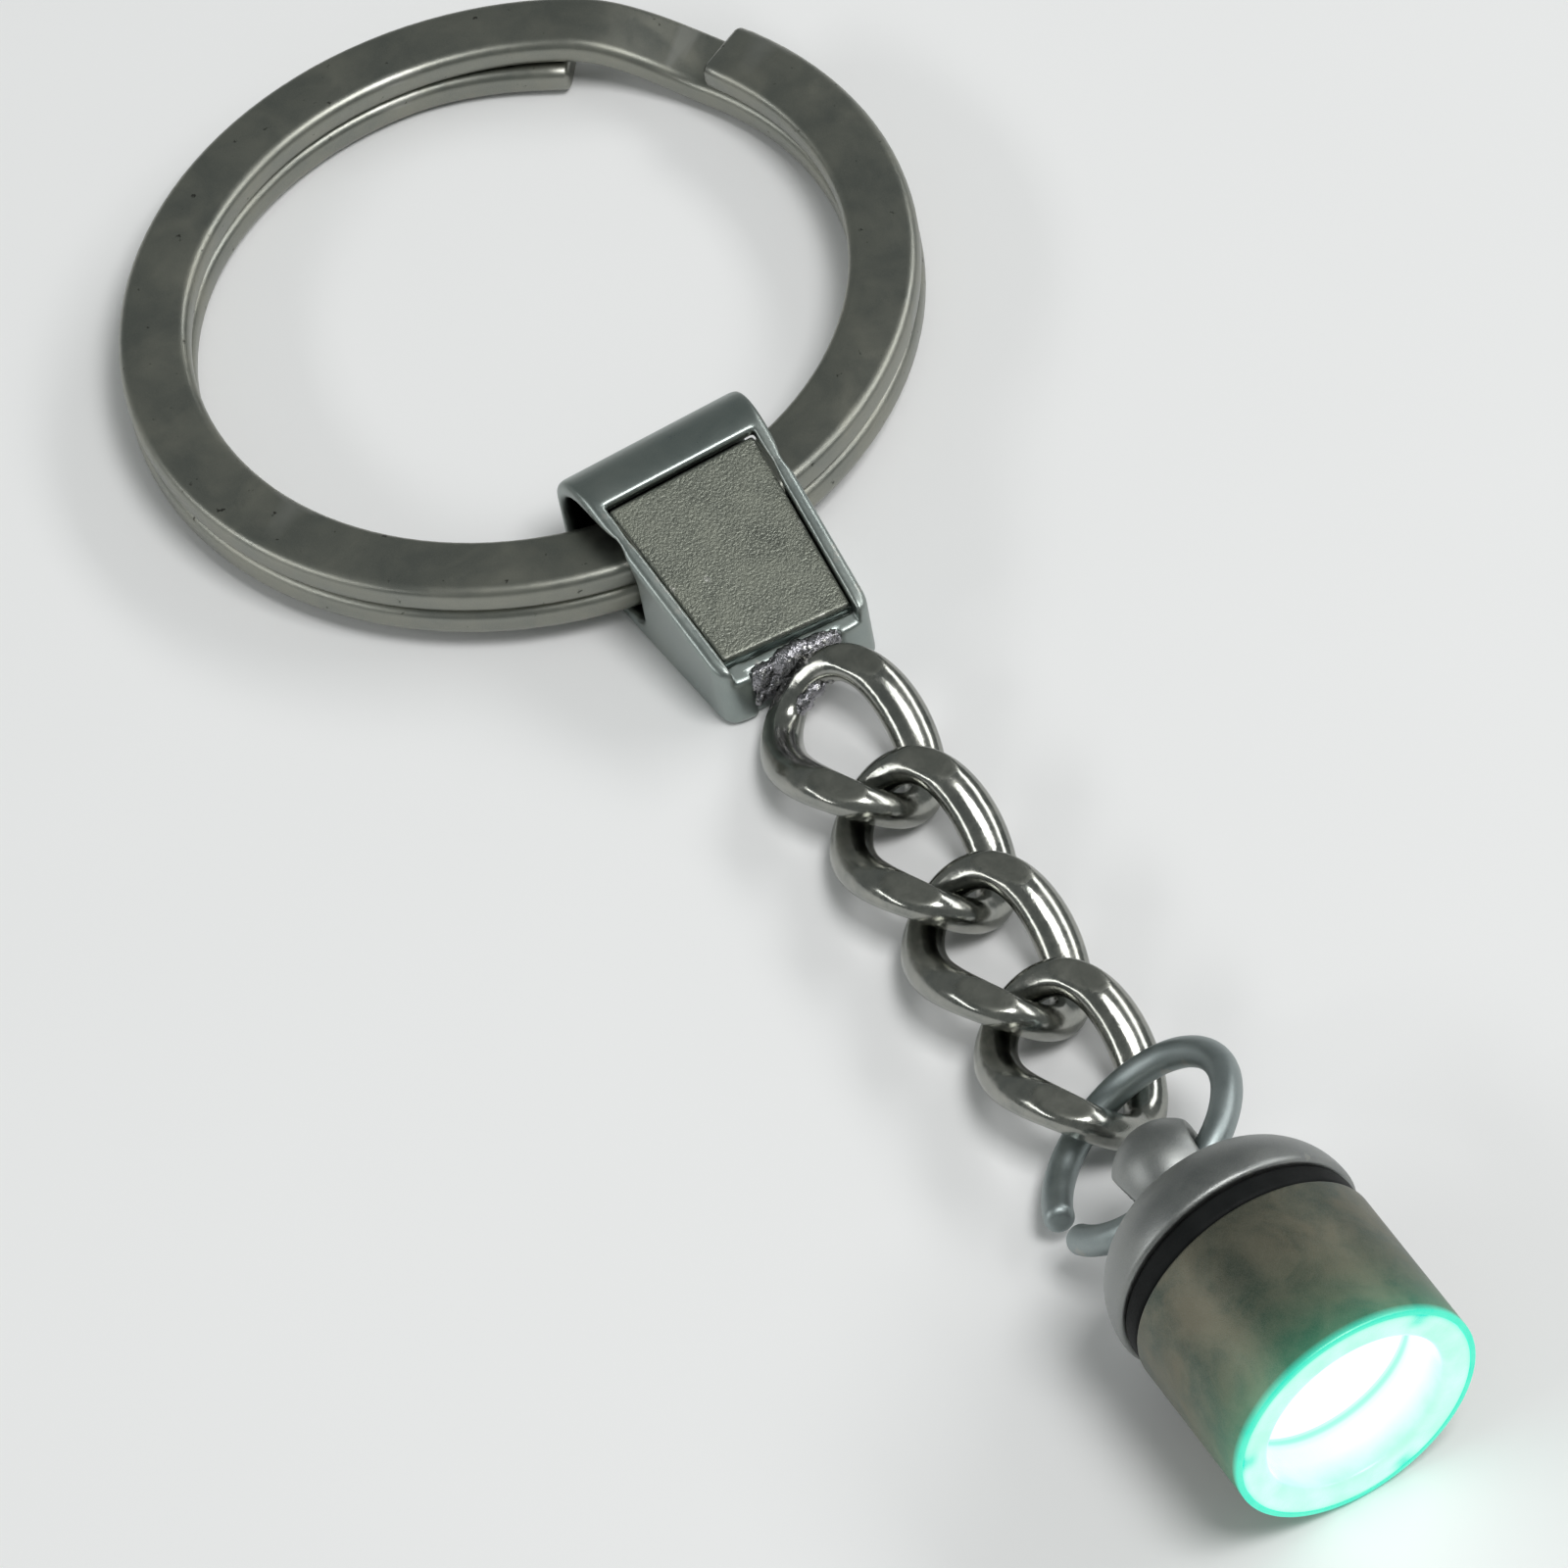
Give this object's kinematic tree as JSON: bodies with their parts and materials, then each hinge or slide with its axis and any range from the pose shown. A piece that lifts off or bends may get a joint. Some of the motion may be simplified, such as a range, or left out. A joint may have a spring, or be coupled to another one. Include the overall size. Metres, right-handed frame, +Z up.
{
  "type": "keychain flashlight",
  "caption": "Small twist-on button-cell light on a curb chain, with a strap connector running on a flat split key ring.",
  "frame": {"origin": "middle of the bounding box, on the table that the part lies on", "axes": "+X from the split ring along the chain to the light, +Z up from the table, +Y completes the right-handed frame"},
  "size_m": [0.077, 0.03, 0.0094],
  "materials": {
    "split_ring": "satin nickel plate, rubbed",
    "connector_shell": "satin nickel plated die casting",
    "connector_plate": "grained satin plate",
    "solder_bead": "rough bright solder",
    "chain_link": "bright sides, satin ground flats",
    "jump_ring": "dull nickel",
    "end_cap": "blasted grey",
    "o_ring": "matt black",
    "barrel": "blotched gunmetal",
    "diffuser_ring": "translucent, lit cyan",
    "lens_disc": "clear window, lit",
    "reflector": "white moulding",
    "led_package": "white moulding",
    "led_phosphor": "lit emitter",
    "led_board": "green solder mask",
    "board_rivet": "plain brass",
    "cell": "satin steel can",
    "cell_sleeve": "white film",
    "contact_spring": "plated spring wire"
  },
  "bodies": {
    "key_ring": {"split_ring": "split_ring"},
    "connector": {"connector_shell": "connector_shell", "connector_plate": "connector_plate", "solder_bead": "solder_bead", "chain_link_1": "chain_link"},
    "link_2": {"chain_link_2": "chain_link"},
    "link_3": {"chain_link_3": "chain_link"},
    "link_4": {"chain_link_4": "chain_link"},
    "jump": {"jump_ring": "jump_ring"},
    "cap": {"end_cap": "end_cap", "o_ring": "o_ring", "cell_1": "cell", "cell_2": "cell", "cell_sleeve": "cell_sleeve", "contact_spring": "contact_spring"},
    "barrel": {"barrel": "barrel", "diffuser_ring": "diffuser_ring", "lens_disc": "lens_disc", "reflector": "reflector", "led_package": "led_package", "led_phosphor": "led_phosphor", "led_board": "led_board", "board_rivet": "board_rivet"}
  },
  "joints": [
    {"name": "connector_round_ring", "type": "hinge", "parent": "key_ring", "child": "connector", "pos_m": [-0.0235, 0, 0.00161], "axis": [-0.027, 0, 0.9996], "continuous": true},
    {"name": "link_2_swing", "type": "hinge", "parent": "connector", "child": "link_2", "pos_m": [0.00429, 0.00095, 0.00142], "axis": [0, 0, 1], "range_deg": [-15, 8]},
    {"name": "link_3_bend", "type": "hinge", "parent": "link_2", "child": "link_3", "pos_m": [0.00989, 0.00095, 0.00151], "axis": [0, 1, 0], "range_deg": [-23, 20]},
    {"name": "link_4_swing", "type": "hinge", "parent": "link_3", "child": "link_4", "pos_m": [0.01549, 0.00095, 0.0016], "axis": [0, 0, 1], "range_deg": [-13, 8]},
    {"name": "jump_ring_bend", "type": "hinge", "parent": "link_4", "child": "jump", "pos_m": [0.02033, 0.00122, 0.00117], "axis": [-0.051, 0.9413, 0.3338], "range_deg": [-38, 55]},
    {"name": "light_swing", "type": "hinge", "parent": "jump", "child": "cap", "pos_m": [0.02662, 0.00079, 0.0047], "axis": [-0.051, 0.9413, 0.3338], "range_deg": [-80, 35]},
    {"name": "barrel_twist", "type": "hinge", "parent": "cap", "child": "barrel", "pos_m": [0.03278, 0.00112, 0.0047], "axis": [0.9985, 0.0541, 0], "range_deg": [-180, 0]}
  ]
}
